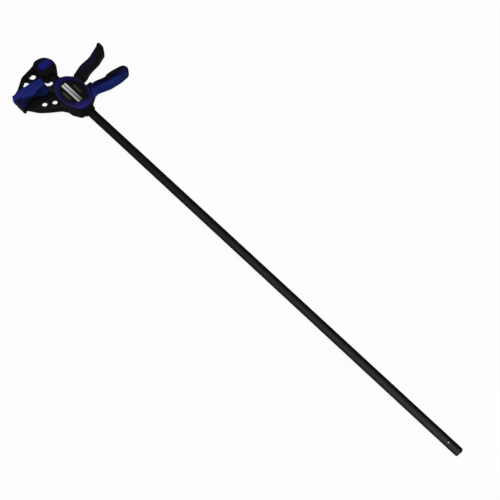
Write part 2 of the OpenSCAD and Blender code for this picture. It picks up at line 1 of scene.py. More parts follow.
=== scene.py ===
import bpy
import json
import math
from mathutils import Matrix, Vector


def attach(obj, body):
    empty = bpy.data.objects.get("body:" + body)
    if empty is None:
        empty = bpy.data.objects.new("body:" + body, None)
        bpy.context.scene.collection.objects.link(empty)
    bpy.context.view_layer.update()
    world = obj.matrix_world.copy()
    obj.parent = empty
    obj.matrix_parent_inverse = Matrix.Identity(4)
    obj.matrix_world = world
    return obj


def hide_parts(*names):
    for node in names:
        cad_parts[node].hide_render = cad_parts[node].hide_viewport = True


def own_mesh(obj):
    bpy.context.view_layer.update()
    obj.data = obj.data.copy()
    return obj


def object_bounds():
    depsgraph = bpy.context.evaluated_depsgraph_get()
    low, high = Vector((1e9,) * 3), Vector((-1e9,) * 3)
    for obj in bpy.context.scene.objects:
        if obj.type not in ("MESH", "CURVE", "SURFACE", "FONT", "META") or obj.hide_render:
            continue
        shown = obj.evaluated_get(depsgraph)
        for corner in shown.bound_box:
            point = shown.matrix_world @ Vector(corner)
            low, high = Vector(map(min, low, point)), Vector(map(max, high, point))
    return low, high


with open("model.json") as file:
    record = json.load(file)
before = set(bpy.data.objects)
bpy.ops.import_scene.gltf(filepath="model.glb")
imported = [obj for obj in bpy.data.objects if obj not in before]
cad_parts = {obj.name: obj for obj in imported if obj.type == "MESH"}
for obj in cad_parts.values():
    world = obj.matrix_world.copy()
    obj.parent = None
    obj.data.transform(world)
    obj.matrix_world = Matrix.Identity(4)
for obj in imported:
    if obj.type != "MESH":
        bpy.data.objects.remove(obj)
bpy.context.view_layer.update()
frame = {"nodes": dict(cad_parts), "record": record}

nodes = frame["nodes"]
bodyOf = {node: body for body, members in frame["record"]["behaviour"]["bodies"].items()
    for node in members}
mm = 0.001
print("frame loaded:", len(nodes), "nodes")

# camera first: where it stands, what it looks at and how long its lens is
cameraSetup = {"place": (1.7071, -1.0695, 2.6442), "target": (0.5441, 0.0130, 0.0002),
    "lens": 122.4, "film": 36, "sees": 50}

cameraData = bpy.data.cameras.new("studioCamera")
cameraData.lens = cameraSetup["lens"]
cameraData.sensor_width = cameraSetup["film"]
cameraData.clip_end = cameraSetup["sees"]
camera = bpy.data.objects.new("studioCamera", cameraData)
bpy.context.scene.collection.objects.link(camera)
camera.location = cameraSetup["place"]
sight = Vector(cameraSetup["target"]) - Vector(cameraSetup["place"])
camera.rotation_euler = sight.to_track_quat("-Z", "Y").to_euler()
bpy.context.scene.camera = camera
bpy.context.scene.view_settings.view_transform = "Standard"
print("camera set")


# small helpers for modelling; merging in metres, flatness in degrees
modelling = {"mergeWithin": 1e-6, "flatWithin": 0.4}


def deselectAll():
    if bpy.context.object and bpy.context.object.mode != "OBJECT":
        bpy.ops.object.mode_set(mode="OBJECT")
    bpy.ops.object.select_all(action="DESELECT")


def pick(piece):
    deselectAll()
    piece.select_set(True)
    bpy.context.view_layer.objects.active = piece


def enterEdit():
    bpy.ops.object.mode_set(mode="EDIT")


def leaveEdit():
    bpy.ops.object.mode_set(mode="OBJECT")


def editAll(piece):
    pick(piece)
    enterEdit()
    bpy.ops.mesh.select_all(action="SELECT")


def wholeFaces():  # triangles that lie in one plane become one face again
    bpy.ops.mesh.dissolve_limited(angle_limit=math.radians(modelling["flatWithin"]))


def smoothBelow(angle):
    bpy.ops.object.shade_smooth_by_angle(angle=math.radians(angle))


def applyModifiers(piece):
    pick(piece)
    for modifier in list(piece.modifiers):
        bpy.ops.object.modifier_apply(modifier=modifier.name)


def settle(piece):  # place, turn and scale go into the mesh
    pick(piece)
    bpy.ops.object.transform_apply(location=True, rotation=True, scale=True)


def takeCopy(node):  # a merged copy of a construction solid, ready for modelling
    source = nodes[node]
    piece = bpy.data.objects.new(node + "_skin", source.data.copy())
    bpy.context.scene.collection.objects.link(piece)
    piece.data.materials.clear()
    editAll(piece)
    bpy.ops.mesh.remove_doubles(threshold=modelling["mergeWithin"])
    leaveEdit()
    return piece


def dress(piece, material, body):
    piece.data.materials.clear()
    piece.data.materials.append(material)
    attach(piece, body)


def standFor(piece, node, material):
    dress(piece, material, bodyOf[node])
    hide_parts(node)
    return piece


# small helpers for materials
screenCurve = {"knee": 0.04045, "slope": 12.92, "offset": 0.055, "power": 2.4}
mixSockets = {"first": 6, "second": 7, "result": 2}  # of a Mix node that is set to colours
bevelSamples = 6
whole = (0.0, 1.0)  # the ends of a ramp that rises
falling = (1.0, 0.0)
unscaled = 1.0
trees = []  # every node tree that is made here, laid out for reading at the end


def paint(red, green, blue):  # screen values to the linear values that a socket takes
    linear = []
    for value in (red, green, blue):
        level = value / 255
        if level <= screenCurve["knee"]:
            linear.append(level / screenCurve["slope"])
        else:
            offset = screenCurve["offset"]
            linear.append(((level + offset) / (1 + offset)) ** screenCurve["power"])
    return (*linear, 1.0)


def place(tree, kind, **settings):
    node = tree.nodes.new(kind)
    for name, value in settings.items():
        setattr(node, name, value)
    return node


def feed(tree, value, socket):  # a link where the value is another node's, and else the value
    if isinstance(value, bpy.types.NodeSocket):
        tree.links.new(value, socket)
    else:
        socket.default_value = value


def calc(tree, operation, *values, clamp=False):
    node = place(tree, "ShaderNodeMath", operation=operation, use_clamp=clamp)
    for value, socket in zip(values, node.inputs):
        feed(tree, value, socket)
    return node.outputs[0]


def times(tree, first, second, clamp=False):
    return calc(tree, "MULTIPLY", first, second, clamp=clamp)


def blendColours(tree, factor, first, second):
    node = place(tree, "ShaderNodeMix", data_type="RGBA", blend_type="MIX")
    feed(tree, factor, node.inputs["Factor"])
    feed(tree, first, node.inputs[mixSockets["first"]])
    feed(tree, second, node.inputs[mixSockets["second"]])
    return node.outputs[mixSockets["result"]]


def ramp(tree, source, span, ends=whole):
    node = place(tree, "ShaderNodeMapRange", clamp=True)
    feed(tree, source, node.inputs["Value"])
    for name, value in zip(("From Min", "From Max", "To Min", "To Max"), (*span, *ends)):
        node.inputs[name].default_value = value
    return node.outputs["Result"]


def spread(start, width):  # the two ends of a range from where it starts
    return (start, start + width)


def objectPoint(tree):
    return place(tree, "ShaderNodeTexCoord").outputs["Object"]


def readPlace(tree):  # where a point of the surface lies, split in X, Y and Z
    split = place(tree, "ShaderNodeSeparateXYZ")
    feed(tree, objectPoint(tree), split.inputs["Vector"])
    return split.outputs


def moved(tree, **values):  # the object's own point, turned, shifted or stretched
    mapping = place(tree, "ShaderNodeMapping")
    for name, value in values.items():
        mapping.inputs[name].default_value = value
    feed(tree, objectPoint(tree), mapping.inputs["Vector"])
    return mapping.outputs["Vector"]


def noise(tree, point, scale, detail, distortion=0.0):
    node = place(tree, "ShaderNodeTexNoise")
    feed(tree, point, node.inputs["Vector"])
    feed(tree, scale, node.inputs["Scale"])
    feed(tree, detail, node.inputs["Detail"])
    feed(tree, distortion, node.inputs["Distortion"])
    return node.outputs["Fac"]


def roundedNormal(tree, radius):
    node = place(tree, "ShaderNodeBevel", samples=bevelSamples)
    feed(tree, radius, node.inputs["Radius"])
    return node.outputs["Normal"]


def fromPlane(tree, value, middle):  # distance from a plane across one axis
    return calc(tree, "ABSOLUTE", calc(tree, "SUBTRACT", value, middle))


def acrossLine(tree, spots, slope, turnAt):  # X less a share of Y, across a slanting piece
    lean = times(tree, calc(tree, "SUBTRACT", spots["Y"], turnAt), slope)
    return calc(tree, "SUBTRACT", spots["X"], lean)


def newGroup(name, inputs, outputs):
    tree = bpy.data.node_groups.new(name, "ShaderNodeTree")
    trees.append(tree)
    for label, value in inputs.items():
        socket = tree.interface.new_socket(name=label, in_out="INPUT",
            socket_type="NodeSocketFloat")
        socket.default_value = value
    for label in outputs:
        tree.interface.new_socket(name=label, in_out="OUTPUT", socket_type="NodeSocketFloat")
    return tree, place(tree, "NodeGroupInput").outputs, place(tree, "NodeGroupOutput").inputs


def useGroup(tree, group, **values):
    node = place(tree, "ShaderNodeGroup")
    node.node_tree = group
    for label, value in values.items():
        feed(tree, value, node.inputs[label])
    return node.outputs


# edge wear: 1 along outside edges, broken up by noise
wearSetup = {"turn": (0.02, 0.22), "detail": 4, "patches": (0.42, 0.62), "patchShare": (0.15, 1.0)}


def buildEdgeWear():
    tree, given, result = newGroup("edgeWear",
        {"Width": 0.0006, "Amount": 1.0, "Breakup": 900.0}, ["Mask"])
    turn = place(tree, "ShaderNodeVectorMath", operation="DOT_PRODUCT")
    feed(tree, roundedNormal(tree, given["Width"]), turn.inputs[0])
    feed(tree, place(tree, "ShaderNodeNewGeometry").outputs["Normal"], turn.inputs[1])
    edge = calc(tree, "SUBTRACT", 1.0, turn.outputs["Value"])
    edge = ramp(tree, edge, wearSetup["turn"])
    broken = noise(tree, objectPoint(tree), given["Breakup"], wearSetup["detail"])
    patches = ramp(tree, broken, wearSetup["patches"], wearSetup["patchShare"])
    worn = times(tree, times(tree, edge, patches), given["Amount"], clamp=True)
    feed(tree, worn, result["Mask"])
    return tree


# spark-eroded mould surface: fine cells over a slow wave
grainSetup = {"cells": 0.7, "fineDetail": 5, "slowDetail": 3, "cloud": (0.3, 0.7)}


def buildMouldGrain():
    tree, given, result = newGroup("mouldGrain",
        {"Grain": 2600.0, "Wave": 60.0}, ["Height", "Cloud"])
    point = objectPoint(tree)
    cells = place(tree, "ShaderNodeTexVoronoi", feature="SMOOTH_F1")
    feed(tree, point, cells.inputs["Vector"])
    feed(tree, given["Grain"], cells.inputs["Scale"])
    height = times(tree, cells.outputs["Distance"], grainSetup["cells"])
    fine = noise(tree, point, given["Grain"], grainSetup["fineDetail"])
    feed(tree, calc(tree, "ADD", height, fine), result["Height"])
    slow = noise(tree, point, given["Wave"], grainSetup["slowDetail"])
    feed(tree, ramp(tree, slow, grainSetup["cloud"]), result["Cloud"])
    return tree


# soft smears and fine scratches from use
touchSetup = {"smearDetail": 6, "smearDistortion": 0.6, "smear": (0.45, 0.75),
    "scratchTurns": ((0.3, 0.2, 0.5), (0.3, 0.2, 2.2)), "scratchStretch": (25, 900, 400),
    "scratchDetail": 2, "scratch": (0.68, 0.74), "patchScale": 55, "patchDetail": 2,
    "patches": (0.5, 0.65)}


def buildHandling():
    tree, given, result = newGroup("handling",
        {"Size": 40.0, "Scratches": 1.0}, ["Smear", "Scratch"])
    smear = noise(tree, objectPoint(tree), given["Size"], touchSetup["smearDetail"],
        touchSetup["smearDistortion"])
    feed(tree, ramp(tree, smear, touchSetup["smear"]), result["Smear"])
    lines = []
    for turn in touchSetup["scratchTurns"]:
        along = moved(tree, Rotation=turn, Scale=touchSetup["scratchStretch"])
        streak = noise(tree, along, unscaled, touchSetup["scratchDetail"])
        lines.append(ramp(tree, streak, touchSetup["scratch"]))
    patches = noise(tree, objectPoint(tree), touchSetup["patchScale"], touchSetup["patchDetail"])
    here = ramp(tree, patches, touchSetup["patches"])
    scratched = times(tree, calc(tree, "MAXIMUM", *lines), here)
    feed(tree, times(tree, scratched, given["Scratches"], clamp=True), result["Scratch"])
    return tree


edgeWear = buildEdgeWear()
mouldGrain = buildMouldGrain()
handling = buildHandling()
print("shared effects built")


def useWear(tree, look):
    return useGroup(tree, edgeWear, Width=look["wearWidth"], Amount=look["wearAmount"],
        Breakup=look["wearBreakup"])["Mask"]


def useGrain(tree, look):
    return useGroup(tree, mouldGrain, Grain=look["grain"], Wave=look["wave"])


def useHandling(tree, look):
    return useGroup(tree, handling, Size=look["smearSize"], Scratches=look["scratches"])


def newMaterial(name, look):
    material = bpy.data.materials.new(name)
    material.use_nodes = True
    tree = material.node_tree
    trees.append(tree)
    shader = tree.nodes["Principled BSDF"].inputs
    shader["Roughness"].default_value = look["roughness"]
    shader["Specular IOR Level"].default_value = look["specular"]
    shader["Metallic"].default_value = look.get("metallic", 0.0)
    return material, tree, shader


def finishMaterial(tree, shader, look, colour, rough, height):
    feed(tree, colour, shader["Base Color"])
    feed(tree, rough, shader["Roughness"])
    bump = place(tree, "ShaderNodeBump")
    bump.inputs["Strength"].default_value = look["bump"]
    bump.inputs["Distance"].default_value = look["bumpDepth"]
    feed(tree, height, bump.inputs["Height"])
    if "edge" in look:
        feed(tree, roundedNormal(tree, look["edge"]), bump.inputs["Normal"])
    feed(tree, bump.outputs["Normal"], shader["Normal"])


# moulded plastic and rubber, each by its own values; a zone shades part of a piece
mouldedLook = {"roughness": 0.62, "roughSpread": 0.14, "wearBreakup": 900.0, "wearPolish": 0.1,
    "scratchShow": 0.5}


def mouldedMaterial(name, look, zone=None):
    material, tree, shader = newMaterial(name, look)
    grain = useGrain(tree, look)
    wear = useWear(tree, look)
    touch = useHandling(tree, look)
    colour = blendColours(tree, grain["Cloud"], look["dark"], look["light"])
    if zone:
        colour = zone(tree, look, colour)
    smeared = times(tree, touch["Smear"], look["smear"])
    colour = blendColours(tree, smeared, colour, look["dusty"])
    scratched = times(tree, touch["Scratch"], look["scratchShow"])
    colour = blendColours(tree, scratched, colour, look["worn"])
    colour = blendColours(tree, wear, colour, look["worn"])
    rough = ramp(tree, touch["Smear"], whole, spread(look["roughness"], look["roughSpread"]))
    polish = times(tree, wear, look["wearPolish"])
    rough = calc(tree, "SUBTRACT", rough, polish, clamp=True)
    height = calc(tree, "SUBTRACT", grain["Height"], touch["Scratch"])
    finishMaterial(tree, shader, look, colour, rough, height)
    return material


# black plastic of the fixed jaw, the trigger and the release tab; its pale worn edges are partly
# real wear and partly a painted edge highlight
plasticLook = dict(mouldedLook, dark=paint(6, 6, 7), light=paint(13, 13, 14),
    dusty=paint(22, 22, 23), worn=paint(56, 56, 58), specular=0.028, grain=2400.0, wave=55.0,
    wearWidth=0.0006, wearAmount=0.8, smearSize=38.0, smear=0.5, scratches=0.6,
    bump=0.22, bumpDepth=0.00012, edge=0.0004)

blackPlastic = mouldedMaterial("blackPlastic", plasticLook)


# housing: dark line where the half shells meet, and a painted highlight on the arm's flat flange
# tops
shellLook = dict(plasticLook, deep=paint(1, 1, 1), rim=paint(25, 25, 24),
    seam=(0.00008, 0.00022), flangeLitFrom=(0.0064, 0.0070), flangeLitTo=(0.0076, 0.0080),
    flangeLitBeyond=(-0.014, -0.022), flangeLitFacing=(0.75, 0.95))


def shellZone(tree, look, colour):
    spots = readPlace(tree)
    height = fromPlane(tree, spots["Z"], 0.0)
    seam = ramp(tree, height, look["seam"], falling)
    colour = blendColours(tree, seam, colour, look["deep"])
    # painted highlight: the arm's flange tops, where they lie flat, made paler as if lit
    rim = ramp(tree, height, look["flangeLitFrom"])
    rim = times(tree, rim, ramp(tree, height, look["flangeLitTo"], falling))
    rim = times(tree, rim, ramp(tree, spots["Y"], look["flangeLitBeyond"]))
    facing = place(tree, "ShaderNodeSeparateXYZ")
    feed(tree, place(tree, "ShaderNodeNewGeometry").outputs["Normal"], facing.inputs["Vector"])
    flat = ramp(tree, calc(tree, "ABSOLUTE", facing.outputs["Z"]), look["flangeLitFacing"])
    return blendColours(tree, times(tree, rim, flat), colour, look["rim"])


shellPlastic = mouldedMaterial("shellPlastic", shellLook, shellZone)


# blue rubber of the fixed pad, which the other soft pieces start from
blueLook = dict(mouldedLook, dark=paint(21, 27, 92), light=paint(30, 36, 107),
    dusty=paint(38, 45, 114), worn=paint(52, 60, 132), specular=0.03, grain=1900.0, wave=45.0,
    wearWidth=0.0005, wearAmount=0.35, smearSize=32.0, smear=0.35, scratches=0.2,
    bump=0.3, bumpDepth=0.00016, edge=0.0003)

blueSoft = mouldedMaterial("blueSoft", blueLook)


# moving pad: low cheeks darkened with painted shade, and darker still towards the arm
padLook = dict(blueLook, deep=paint(4, 8, 44), outer=paint(2, 5, 10),
    cheekHeight=(0.0104, 0.0112), cheekLine=(0.50, -0.072), cheekFade=(0.0055, 0.0128))


def padZone(tree, look, colour):
    spots = readPlace(tree)
    # painted shade: the low cheeks darkened, and darker still towards the arm
    low = ramp(tree, fromPlane(tree, spots["Z"], 0.0), look["cheekHeight"], falling)
    colour = blendColours(tree, low, colour, look["deep"])
    outer = ramp(tree, acrossLine(tree, spots, *look["cheekLine"]), look["cheekFade"])
    return blendColours(tree, outer, colour, look["outer"])


padSoft = mouldedMaterial("padSoft", padLook, padZone)


# grip: its blue raised to look lit on the palm side, and painted shade beside the bare ridge
gripLook = dict(blueLook, dark=paint(26, 42, 120), light=paint(36, 54, 134), deep=paint(3, 3, 24),
    palmLine=(0.18, 0.038), palmFade=(0.078, 0.0895))


def gripZone(tree, look, colour):
    # painted shade beside the bare ridge
    across = acrossLine(tree, readPlace(tree), *look["palmLine"])
    return blendColours(tree, ramp(tree, across, look["palmFade"], falling), colour, look["deep"])


gripSoft = mouldedMaterial("gripSoft", gripLook, gripZone)


# rings: painted shade on the broad sides, a painted highlight at the rear end, painted shade where
# they dip to the badge
ringLook = dict(blueLook, dark=paint(17, 15, 78), light=paint(24, 21, 94),
    dusty=paint(34, 32, 100), deep=paint(36, 32, 64), rearHighlight=paint(38, 33, 108),
    shade=paint(3, 5, 12), middle=(0.0602, 0.0008), half=(0.045, 0.031), flank=(0.013, 0.024),
    rearEnd=(0.070, 0.088), shoulder=(0.002, 0.014), dip=(0.80, 0.93), skirt=(0.97, 1.0),
    dipDepth=(0.45, 0.98))


def ringZone(tree, look, colour):
    spots = readPlace(tree)
    middle = dict(zip("XY", look["middle"]))
    flank = ramp(tree, fromPlane(tree, spots["Y"], middle["Y"]), look["flank"])
    rearEnd = ramp(tree, spots["X"], look["rearEnd"])
    shoulder = times(tree, rearEnd, ramp(tree, spots["Y"], look["shoulder"]))
    side = calc(tree, "MAXIMUM", flank, shoulder)
    # painted highlight at the rear end, then painted shade on the broad sides
    colour = blendColours(tree, rearEnd, colour, look["rearHighlight"])
    colour = blendColours(tree, side, colour, look["deep"])
    squares = []
    for axis, half in zip("XY", look["half"]):
        share = times(tree, fromPlane(tree, spots[axis], middle[axis]), 1/half)
        squares.append(calc(tree, "POWER", share, 2.0))
    oval = calc(tree, "SQRT", calc(tree, "ADD", *squares))  # 1 at the ring's outer edge
    # painted shade where the ring dips to the badge and at its outer skirt
    inner = ramp(tree, oval, look["dip"], falling)
    dip = calc(tree, "MAXIMUM", inner, ramp(tree, oval, look["skirt"]))
    dip = times(tree, dip, ramp(tree, side, whole, look["dipDepth"]))
    return blendColours(tree, dip, colour, look["shade"])


ringSoft = mouldedMaterial("ringSoft", ringLook, ringZone)


# trigger's soft front
navyLook = dict(blueLook, dark=paint(10, 8, 22), light=paint(18, 15, 36),
    dusty=paint(26, 23, 48), worn=paint(48, 42, 96), roughness=0.66)

navySoft = mouldedMaterial("navySoft", navyLook)


# button: dished, and both ends darkened with painted shade where they fall away
buttonLook = dict(blueLook, dark=paint(17, 19, 102), light=paint(22, 26, 118),
    deep=paint(9, 10, 32), roughness=0.45, roughSpread=0.12, grain=3000.0, bump=0.14,
    specular=0.05, middle=-0.0255, fall=(0.002, 0.0115))


def buttonZone(tree, look, colour):
    # painted shade at both ends of the dished button
    ends = ramp(tree, fromPlane(tree, readPlace(tree)["X"], look["middle"]), look["fall"])
    return blendColours(tree, ends, colour, look["deep"])


blueHard = mouldedMaterial("blueHard", buttonLook, buttonZone)


# bar: black oxide over drawn steel, in long streaks, with a painted sheen along its crest,
# brighter towards the free end, and painted shade on its side faces
barLook = {"dark": paint(5, 5, 6), "nearHead": paint(22, 22, 23), "farEnd": paint(62, 62, 63),
    "bare": paint(100, 99, 97), "sides": paint(2, 2, 2), "roughness": 0.6, "specular": 0.02,
    "streaks": (3.0, 620.0, 620.0), "streakDetail": 5, "drawn": (0.35, 0.65),
    "drawnShare": (0.8, 1.0), "cloudShare": (0.85, 1.0), "sideFrom": (0.0080, 0.0083),
    "along": (0.1, 1.05), "crest": -0.0034, "crestFall": (0.0008, 0.0080),
    "grain": 3200.0, "wave": 22.0, "grainShare": 0.3, "smearSize": 14.0, "smearRough": 0.12,
    "scratches": 0.8, "scratchShow": 0.3, "wearWidth": 0.0005, "wearAmount": 0.5,
    "wearBreakup": 420.0, "wearShow": 0.4, "wearMetal": 0.5, "drawnRough": 0.06,
    "bump": 0.25, "bumpDepth": 0.0001, "edge": 0.0003}


def barMaterial(look):
    material, tree, shader = newMaterial("barSteel", look)
    spots = readPlace(tree)
    streak = noise(tree, moved(tree, Scale=look["streaks"]), unscaled, look["streakDetail"])
    drawn = ramp(tree, streak, look["drawn"])
    grain = useGrain(tree, look)
    touch = useHandling(tree, look)
    wear = useWear(tree, look)
    # painted shade on the side faces
    side = ramp(tree, fromPlane(tree, spots["Y"], 0.0), look["sideFrom"])
    # painted sheen along the crest, brighter towards the free end
    amount = ramp(tree, fromPlane(tree, spots["Y"], look["crest"]), look["crestFall"], falling)
    amount = times(tree, amount, ramp(tree, drawn, whole, look["drawnShare"]))
    amount = times(tree, amount, ramp(tree, grain["Cloud"], whole, look["cloudShare"]))
    along = ramp(tree, spots["X"], look["along"])
    paintedSheen = blendColours(tree, along, look["nearHead"], look["farEnd"])
    colour = blendColours(tree, amount, look["dark"], paintedSheen)
    colour = blendColours(tree, side, colour, look["sides"])
    scratched = times(tree, touch["Scratch"], look["scratchShow"])
    colour = blendColours(tree, scratched, colour, look["bare"])
    colour = blendColours(tree, times(tree, wear, look["wearShow"]), colour, look["bare"])
    feed(tree, times(tree, wear, look["wearMetal"], clamp=True), shader["Metallic"])
    levels = (look["roughness"] - look["drawnRough"], look["roughness"] + look["drawnRough"])
    rough = calc(tree, "ADD", ramp(tree, drawn, whole, levels),
        times(tree, touch["Smear"], look["smearRough"]), clamp=True)
    height = calc(tree, "ADD", streak, times(tree, grain["Height"], look["grainShare"]))
    finishMaterial(tree, shader, look, colour, rough, height)
    return material


# badge: dark ground, two olive glows, a plain pale band in two tones and thin lines
# each stripe has its place across, half its width and half its length; a glow also its softness
badgeLook = {"middle": (0.0602, 0.0008, 0.0), "halfAxes": (0.0300, 0.0205), "rim": (0.90, 0.93),
    "ground": paint(6, 6, 5), "border": paint(2, 3, 5), "olive": paint(64, 70, 48),
    "line": paint(74, 80, 50), "bandBright": paint(196, 196, 199), "bandDim": paint(84, 87, 82),
    "lowBand": (-0.0058, 0.0023, 0.0258), "highBand": (0.0004, 0.0021, 0.0258),
    "highGlow": (0.0106, 0.0010, 0.0105, 0.0017), "lowGlow": (-0.0158, 0.0012, 0.0105, 0.0022),
    "lines": ((0.0112, 0.0003, 0.0110), (-0.0150, 0.0003, 0.0120)), "soft": 0.0002,
    "fade": (-0.020, 0.026), "lowFade": 0.45, "cloudShow": 0.18,
    "roughness": 0.4, "roughSpread": 0.15, "specular": 0.03, "coat": 0.02, "coatRoughness": 0.15,
    "grain": 1400.0, "wave": 260.0, "grainShare": 0.25, "smearSize": 70.0, "scratches": 0.7,
    "bump": 0.12, "bumpDepth": 0.00008}


def badgeMaterial(look):
    material, tree, shader = newMaterial("badgeFace", look)
    shader["Coat Roughness"].default_value = look["coatRoughness"]
    shader["Coat Weight"].default_value = look["coat"]
    point = moved(tree, Location=tuple(-value for value in look["middle"]))
    split = place(tree, "ShaderNodeSeparateXYZ")
    feed(tree, point, split.inputs["Vector"])
    spots = split.outputs
    along = calc(tree, "ABSOLUTE", spots["X"])

    def stripe(offset, half, reach, soft=look["soft"]):  # along X, its ends twice as soft
        across = fromPlane(tree, spots["Y"], offset)
        inside = ramp(tree, across, (half - soft, half + soft), falling)
        within = ramp(tree, along, (reach - 2*soft, reach + 2*soft), falling)
        return times(tree, inside, within)

    grain = useGrain(tree, look)
    touch = useHandling(tree, look)
    glow = calc(tree, "MAXIMUM", stripe(*look["highGlow"]), stripe(*look["lowGlow"]))
    colour = blendColours(tree, glow, look["ground"], look["olive"])
    fade = ramp(tree, spots["X"], look["fade"])
    upper = blendColours(tree, fade, look["bandBright"], look["bandDim"])
    lower = blendColours(tree, times(tree, fade, look["lowFade"]), look["bandBright"],
        look["bandDim"])
    cloud = times(tree, grain["Cloud"], look["cloudShow"])
    lower = blendColours(tree, cloud, lower, look["bandDim"])
    colour = blendColours(tree, stripe(*look["lowBand"]), colour, lower)
    colour = blendColours(tree, stripe(*look["highBand"]), colour, upper)
    for line in look["lines"]:
        colour = blendColours(tree, stripe(*line), colour, look["line"])
    share = place(tree, "ShaderNodeVectorMath", operation="MULTIPLY")
    share.inputs[1].default_value = (*(1/half for half in look["halfAxes"]), 0.0)
    feed(tree, point, share.inputs[0])
    oval = place(tree, "ShaderNodeVectorMath", operation="LENGTH")  # 1 at the badge's own edge
    feed(tree, share.outputs["Vector"], oval.inputs[0])
    rim = ramp(tree, oval.outputs["Value"], look["rim"])
    colour = blendColours(tree, rim, colour, look["border"])
    rough = ramp(tree, touch["Smear"], whole, spread(look["roughness"], look["roughSpread"]))
    height = calc(tree, "SUBTRACT", times(tree, grain["Height"], look["grainShare"]),
        touch["Scratch"])
    finishMaterial(tree, shader, look, colour, rough, height)
    return material


# bare steels of the mechanism and the screws
steelLook = {"specular": 0.5, "metallic": 1.0, "roughSpread": 0.15, "streakDetail": 4,
    "wearWidth": 0.0003, "wearAmount": 0.8, "wearBreakup": 900.0, "smearSize": 80.0,
    "scratches": 0.6, "bump": 0.2, "bumpDepth": 0.00006}

steelLooks = {
    "turnedSteel": dict(steelLook, dark=paint(150, 150, 152), light=paint(186, 186, 188),
        worn=paint(214, 214, 214), roughness=0.28, streaks=(500.0, 500.0, 60.0)),
    "plateSteel": dict(steelLook, dark=paint(96, 94, 90), light=paint(140, 138, 134),
        worn=paint(196, 194, 190), roughness=0.4, streaks=(60.0, 300.0, 60.0)),
    "springSteel": dict(steelLook, dark=paint(120, 116, 108), light=paint(160, 156, 148),
        worn=paint(190, 186, 178), roughness=0.3, streaks=(400.0, 400.0, 400.0)),
    "screwSteel": dict(steelLook, dark=paint(30, 30, 32), light=paint(52, 52, 55),
        worn=paint(150, 150, 152), roughness=0.36, streaks=(300.0, 300.0, 80.0))}


def steelMaterial(name, look):
    material, tree, shader = newMaterial(name, look)
    streak = noise(tree, moved(tree, Scale=look["streaks"]), unscaled, look["streakDetail"])
    touch = useHandling(tree, look)
    colour = blendColours(tree, streak, look["dark"], look["light"])
    colour = blendColours(tree, useWear(tree, look), colour, look["worn"])
    rough = ramp(tree, touch["Smear"], whole, spread(look["roughness"], look["roughSpread"]))
    height = calc(tree, "SUBTRACT", streak, touch["Scratch"])
    finishMaterial(tree, shader, look, colour, rough, height)
    return material


barSteel = barMaterial(barLook)
badgeFace = badgeMaterial(badgeLook)
steels = {name: steelMaterial(name, look) for name, look in steelLooks.items()}
print("materials built")


# hard mouldings
hardSetup = {"smoothAngle": 38, "materials": {"fixed_jaw": blackPlastic,
    "shell_left": shellPlastic, "shell_right": shellPlastic, "trigger": blackPlastic,
    "release_tab": blackPlastic}}
skins = {}


def finishHard(piece):  # flat faces whole again, round ones shaded smooth
    editAll(piece)
    wholeFaces()
    leaveEdit()
    pick(piece)
    smoothBelow(hardSetup["smoothAngle"])
    weighted = piece.modifiers.new("weighted", "WEIGHTED_NORMAL")
    weighted.keep_sharp = True
    applyModifiers(piece)


for node, material in hardSetup["materials"].items():
    piece = takeCopy(node)
    finishHard(piece)
    skins[node] = standFor(piece, node, material)
    print("hard moulding", node, len(piece.data.polygons))


# soft mouldings: voxels in mm, and how many rounds of smoothing follow
softSetup = {
    "ring_left": {"voxel": 0.45, "rounds": 5, "material": ringSoft},
    "ring_right": {"voxel": 0.45, "rounds": 5, "material": ringSoft},
    "grip_sleeve": {"voxel": 0.6, "rounds": 5, "material": gripSoft},
    "fixed_pad": {"voxel": 0.5, "rounds": 5, "material": blueSoft},
    "moving_pad": {"voxel": 0.6, "rounds": 5, "material": padSoft},
    "trigger_strip": {"voxel": 0.45, "rounds": 4, "material": navySoft},
    "lock_button": {"voxel": 0.35, "rounds": 5, "material": blueHard}}
softRelax = 0.5


def finishSoft(piece, voxel, rounds):  # even skin with rounded edges, as rubber leaves a mould
    skin = piece.modifiers.new("skin", "REMESH")
    skin.mode = "VOXEL"
    skin.voxel_size = voxel * mm
    relax = piece.modifiers.new("relax", "SMOOTH")
    relax.factor = softRelax
    relax.iterations = rounds
    applyModifiers(piece)
    bpy.ops.object.shade_smooth()


for node, values in softSetup.items():
    piece = takeCopy(node)
    finishSoft(piece, values["voxel"], values["rounds"])
    skins[node] = standFor(piece, node, values["material"])
    print("soft moulding", node, len(piece.data.polygons))


# low ribs across the trigger's soft front and the release tab, in mm
# each is dropped on its piece by a ray along X, which starts at rayFrom in metres
ribSetup = {
    "trigger_ribs": {"on": "trigger_strip", "material": navySoft, "radius": 1.1, "length": 12.5,
        "sink": 0.75, "first": 48.0, "step": 6.4, "count": 8, "rayFrom": -0.15},
    "tab_ribs": {"on": "release_tab", "material": blackPlastic, "radius": 0.6, "length": 10.0,
        "sink": 0.35, "first": 34.0, "step": 2.2, "count": 4, "rayFrom": 0.04}}
ribShape = {"sides": 20, "rounding": 0.7, "roundSteps": 4, "endAngle": 60, "smoothAngle": 40}


def makeRib(name, radius, length):  # one round bar with softened ends, along Z
    deselectAll()
    bpy.ops.mesh.primitive_cylinder_add(vertices=ribShape["sides"], radius=radius * mm,
        depth=length * mm)
    rib = bpy.context.object
    rib.name = name
    ends = rib.modifiers.new("ends", "BEVEL")
    ends.width = radius * ribShape["rounding"] * mm
    ends.segments = ribShape["roundSteps"]
    ends.limit_method = "ANGLE"
    ends.angle_limit = math.radians(ribShape["endAngle"])
    applyModifiers(rib)
    return rib


